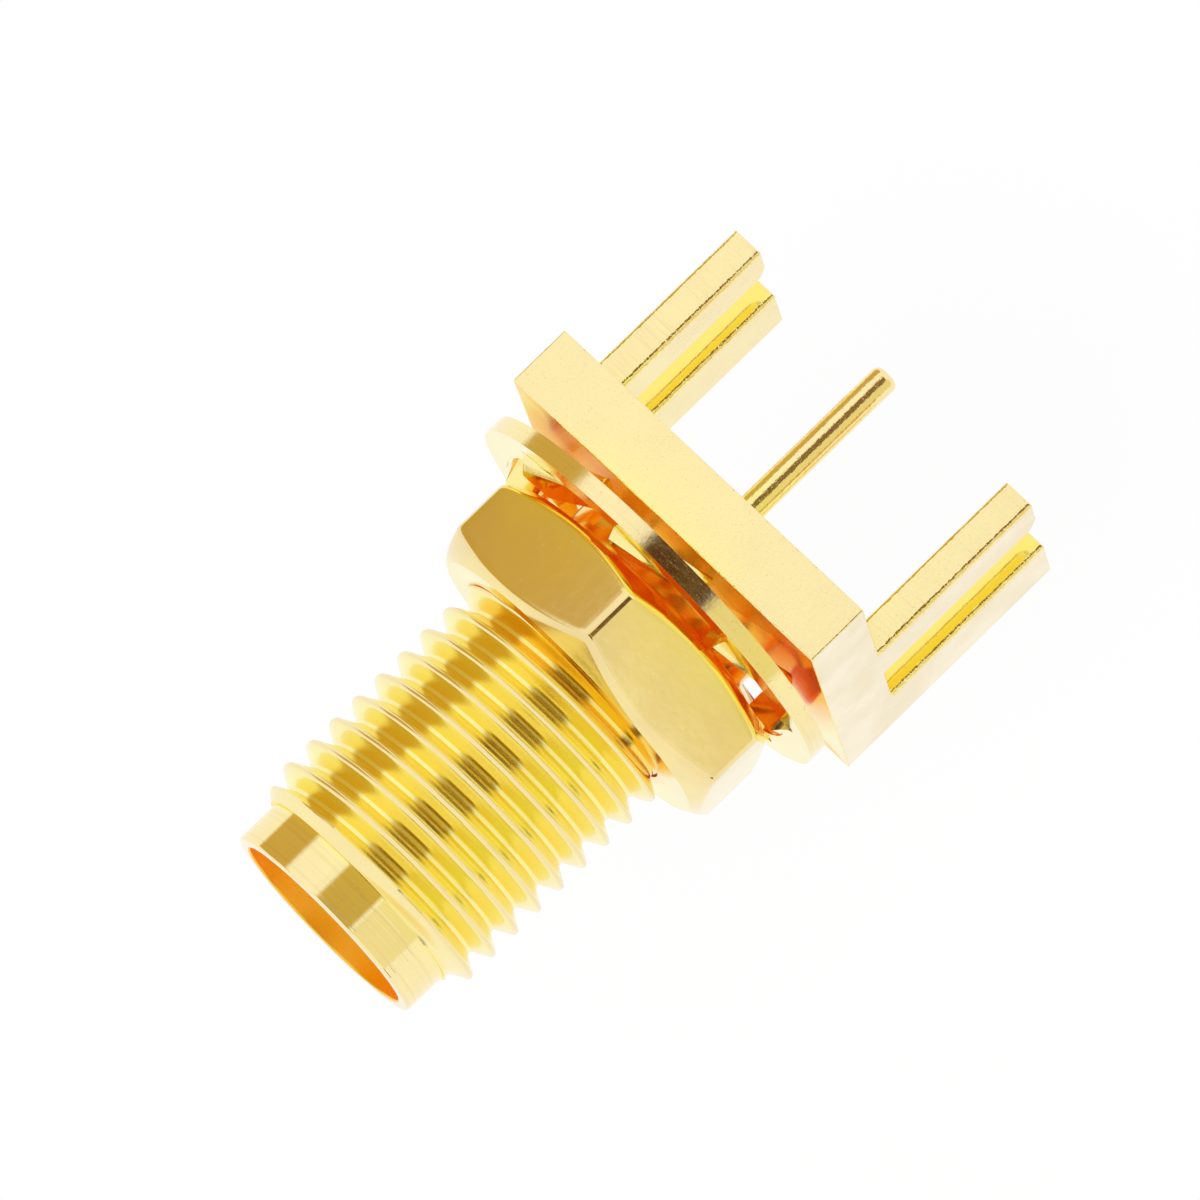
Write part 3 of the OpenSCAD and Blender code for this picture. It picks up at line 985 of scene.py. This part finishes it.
class JACK_OT_insulator(bpy.types.Operator):
    """White insulator in the bore"""

    bl_idname = "jack.insulator"
    bl_label = "Insulator"

    def execute(self, context):
        b, k, c, y = sizes("barrel"), sizes("contact"), sizes("colours"), station()
        outer = (b.bore_d / 2 - k.fit) * MM
        hole = (k.socket_d / 2 + k.fit) * MM
        ring = (k.ring_d / 2 + k.fit) * MM
        ridge = outer + b.groove_depth * MM
        groove, ridge_half, ring_half = y["groove"], (b.groove_w / 2 - k.fit) * MM, (k.ring_w / 2 + k.fit) * MM
        piece = turned(
            "bore_insulator",
            eased(
                [
                    (hole, y["insulator"], 0.02),
                    (outer, y["insulator"], 0.03),
                    (outer, groove - ridge_half, 0),
                    (ridge, groove - ridge_half, 0),
                    (ridge, groove + ridge_half, 0),
                    (outer, groove + ridge_half, 0),
                    (outer, 0, 0.02),
                    (hole, 0, 0.02),
                    (hole, groove + ring_half, 0),
                    (ring, groove + ring_half, 0),
                    (ring, groove - ring_half, 0),
                    (hole, groove - ring_half, 0),
                ]
            ),
        )
        piece.data.materials.append(plain("white insulator", c.insulator, 0.8))
        finished(piece)
        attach(piece, "shell")
        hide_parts("insulator")
        return {"FINISHED"}


class JACK_OT_contact(bpy.types.Operator):
    """Centre contact: slit socket at the mouth and solder tail at the back"""

    bl_idname = "jack.contact"
    bl_label = "Centre contact"

    def execute(self, context):
        k, c, y = sizes("contact"), sizes("colours"), station()
        socket, bore, tail = k.socket_d * MM / 2, k.socket_bore * MM / 2, k.tail_d * MM / 2
        front = y["insulator"] + k.recess * MM
        groove, half = y["groove"], k.ring_w * MM / 2
        piece = turned(
            "slit_contact",
            eased(
                [
                    (0, front + k.bore_len * MM, 0),
                    (bore, front + k.bore_len * MM, 0),
                    (bore, front, 0.05),
                    (socket, front, 0.05),
                    (socket, groove - half, 0),
                    (k.ring_d * MM / 2, groove - half, 0),
                    (k.ring_d * MM / 2, groove + half, 0),
                    (socket, groove + half, 0),
                    (socket, 0, 0.03),
                    (tail, 0, 0.03),
                    (tail, k.tail_len * MM, k.tail_ease * MM),
                    (0, k.tail_len * MM, 0),
                ],
                5,
            ),
            96,
        )
        for turn in (math.pi / 4, 3 * math.pi / 4):
            w, depth = k.slit_w * MM / 2, k.slit_len * MM + CLEAR
            cutter = drawn(
                "slit",
                [(-1.2, -w), (1.2, -w), (1.2, w), (-1.2, w)],
                lambda p: (p[0], front - CLEAR, p[1]),
                (0, depth, 0),
            )
            cutter.data.transform(Matrix.Rotation(turn, 4, "Y"))
            combined(piece, cutter, "DIFFERENCE")
        piece.data.materials.clear()
        piece.data.materials.append(polished_gold("plated contact", c.gold, grain=0.008, lines=0.001, dots=0.2))
        finished(piece)
        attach(piece, "shell")
        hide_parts("centre_contact")
        return {"FINISHED"}


# ---- Stage ----


def background_rays(tree, sums):
    """1 for the rays that see the background: from the camera, off metal and through glass."""
    path = tree.nodes.new("ShaderNodeLightPath")
    seen = sums("MAXIMUM", path.outputs["Is Camera Ray"], path.outputs["Is Glossy Ray"])
    return sums("MAXIMUM", seen, path.outputs["Is Transmission Ray"])


def toward(azimuth, elevation):
    """Direction from the piece; azimuth 0 is in front of the mouth."""
    level = math.cos(elevation)
    return Vector((math.sin(azimuth) * level, -math.cos(azimuth) * level, math.sin(elevation)))


def card(name, start, end, colour, strength, reach, near=-70.0, far=70.0, soft=3.0):
    """Curved reflector card along the axis with soft borders, between two angles about Y: 0 is up and 90 is +X."""
    bm = bmesh.new()
    solidity = bm.verts.layers.float.new("solidity")
    angles = [start, start + soft, *(start + (end - start) * k / 6 for k in range(2, 5)), end - soft, end]
    rim = min(soft * reach * math.pi / 180 * 0.6, (far - near) / 8)
    places = [near, near + rim, far - rim, far]
    rows = []
    for i, angle in enumerate(sorted(angles)):
        a = math.radians(angle)
        row = []
        for k, y in enumerate(places):
            v = bm.verts.new((math.sin(a) * reach, y, math.cos(a) * reach))
            v[solidity] = 0.0 if i in (0, len(angles) - 1) or k in (0, 3) else 1.0
            row.append(v)
        rows.append(row)
    for a, b in zip(rows, rows[1:]):
        for k in range(3):
            bm.faces.new((a[k], a[k + 1], b[k + 1], b[k]))
    made = solid(name, bm)
    made.data.transform(Matrix.Scale(1 / MM, 4))
    glow = bpy.data.materials.new(name)
    glow.use_nodes = True
    tree = glow.node_tree
    tree.nodes.remove(tree.nodes["Principled BSDF"])
    light = tree.nodes.new("ShaderNodeEmission")
    feed(tree, light, Color=(*colour, 1.0), Strength=strength)
    share = tree.nodes.new("ShaderNodeAttribute")
    share.attribute_name = "solidity"
    mix = tree.nodes.new("ShaderNodeMixShader")
    clear = tree.nodes.new("ShaderNodeBsdfTransparent")
    feed(tree, mix, i0=share.outputs["Fac"], i1=clear.outputs[0], i2=light.outputs[0])
    tree.links.new(mix.outputs[0], tree.nodes["Material Output"].inputs[0])
    made.data.materials.append(glow)
    made.visible_camera = made.visible_shadow = made.visible_diffuse = False
    made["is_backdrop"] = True
    return made


class JACK_OT_stage(bpy.types.Operator):
    """Pale floor, soft light, reflector cards and camera"""

    bl_idname = "jack.stage"
    bl_label = "Studio"

    def execute(self, context):
        s, c, scene = sizes("studio"), sizes("colours"), context.scene
        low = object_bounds()[0]
        bm = bmesh.new()
        bmesh.ops.create_grid(bm, x_segments=1, y_segments=1, size=2.0)
        floor = bpy.data.objects.new("floor", bpy.data.meshes.new("floor"))
        bm.to_mesh(floor.data)
        bm.free()
        floor.data.transform(Matrix.Translation((0, 0, low.z - s.drop)))
        scene.collection.objects.link(floor)
        made, tree, shader, sums = material("floor")
        feed(tree, shader, Base_Color=(*c.floor, 1.0), Roughness=0.9)
        seen = background_rays(tree, sums)
        white = tree.nodes.new("ShaderNodeEmission")
        feed(tree, white, Color=(1, 1, 1, 1), Strength=1.0)
        mix = tree.nodes.new("ShaderNodeMixShader")
        feed(tree, mix, i0=sums("MULTIPLY", seen, 0.9), i1=shader.outputs[0], i2=white.outputs[0])
        tree.links.new(mix.outputs[0], tree.nodes["Material Output"].inputs[0])
        floor.data.materials.append(made)
        floor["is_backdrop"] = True

        reach = s.card_reach * MM
        card("shade_card", -97, -46.5, c.shade, 1.0, reach, soft=5.0)
        card("bright_card", -47, -12, (1.0, 1.0, 1.0), s.bright, reach)
        card("nose_shade_card", -8, 39, c.deep_shade, 1.0, reach, -9.0, 4.5, 4.0)
        card("lens_shade_card", -12, 46, c.lens_shade, 1.0, reach, -34.0, -7.0, 13.0)
        card("rim_shade_card", -5, 43, c.lens_shade, 1.0, reach, 1.0, 9.2, 5.0)
        card("tail_shade_card", -5, 40, c.tail_shade, 1.0, 1.03 * reach, 7.5, 32.0, 5.0)
        card("clamp_shade_card", 90, 114, c.lens_shade, 1.0, reach, -34.0, -7.0, 3.0)
        card("grey_card", 122, 238, c.grey, 1.0, reach, soft=12.0)
        card("side_card", 39, 94, c.near_side, 1.0, reach, -9.0, -1.0)
        card("far_side_card", 39, 94, c.side, 1.0, reach, 3.0, 70.0)

        for name, azimuth, elevation, size, power in (
            ("key_lamp", 20, 60, 0.25, 0.9),
            ("fill_lamp", -110, 40, 0.3, 0.5),
        ):
            lamp = bpy.data.lights.new(name, "AREA")
            lamp.shape, lamp.size, lamp.energy = "DISK", size, power
            holder = bpy.data.objects.new(name, lamp)
            back = toward(math.radians(azimuth), math.radians(elevation))
            holder.location = back * 0.5
            holder.rotation_euler = (-back).to_track_quat("-Z", "Y").to_euler()
            holder.visible_glossy = False
            scene.collection.objects.link(holder)

        world = bpy.data.worlds.new("studio")
        scene.world = world
        world.use_nodes = True
        tree = world.node_tree
        sums = Maths(tree)
        seen = background_rays(tree, sums)
        strength = sums("MULTIPLY_ADD", seen, 1.0 - s.world, s.world)
        feed(tree, tree.nodes["Background"], Color=(1, 1, 1, 1), Strength=strength)

        camera = bpy.data.objects.new("camera", bpy.data.cameras.new("camera"))
        camera.data.lens, camera.data.sensor_width = s.lens, 36.0
        camera.data.clip_start, camera.data.clip_end = 0.01, 10.0
        back = toward(s.azimuth, s.elevation)
        target = Vector((-0.92, -3.26, 0.0)) / MM
        camera.location = target + back * s.distance
        aim = (-back).to_track_quat("-Z", "Y").to_matrix() @ Matrix.Rotation(s.roll, 3, "Z")
        camera.rotation_euler = aim.to_euler()
        scene.collection.objects.link(camera)
        scene.camera = camera
        scene.view_settings.view_transform = "Standard"
        scene.cycles.max_bounces = scene.cycles.glossy_bounces = 16
        return {"FINISHED"}


class JACK_PT_panel(bpy.types.Panel):
    """Lists the jack's pieces and the stage"""

    bl_idname = "JACK_PT_panel"
    bl_label = "Coaxial jack"
    bl_space_type = "VIEW_3D"
    bl_region_type = "UI"
    bl_category = "Jack"

    def draw(self, context):
        for step in STEPS:
            self.layout.operator(step.bl_idname)
        for name in GROUPS:
            box = self.layout.box()
            box.label(text=name.capitalize())
            group = sizes(name)
            for key in group.__annotations__:
                box.prop(group, key)


GROUPS = {
    "barrel": JackBarrelSizes,
    "thread": JackThreadSizes,
    "flange": JackFlangeSizes,
    "nut": JackNutSizes,
    "washer": JackWasherSizes,
    "contact": JackContactSizes,
    "colours": JackColours,
    "studio": JackStudio,
}
STEPS = (JACK_OT_body, JACK_OT_nut, JACK_OT_washer, JACK_OT_insulator, JACK_OT_contact, JACK_OT_stage)


def register():
    for made in (*GROUPS.values(), *STEPS, JACK_PT_panel):
        bpy.utils.register_class(made)
    for name, group in GROUPS.items():
        setattr(bpy.types.Scene, "jack_" + name, PointerProperty(type=group))


def unregister():
    for name in GROUPS:
        delattr(bpy.types.Scene, "jack_" + name)
    for made in (JACK_PT_panel, *reversed(STEPS), *reversed(GROUPS.values())):
        bpy.utils.unregister_class(made)


def main():
    register()
    bpy.ops.jack.body()
    bpy.ops.jack.nut()
    bpy.ops.jack.washer()
    bpy.ops.jack.insulator()
    bpy.ops.jack.contact()
    bpy.ops.jack.stage()


if __name__ == "__main__":
    main()
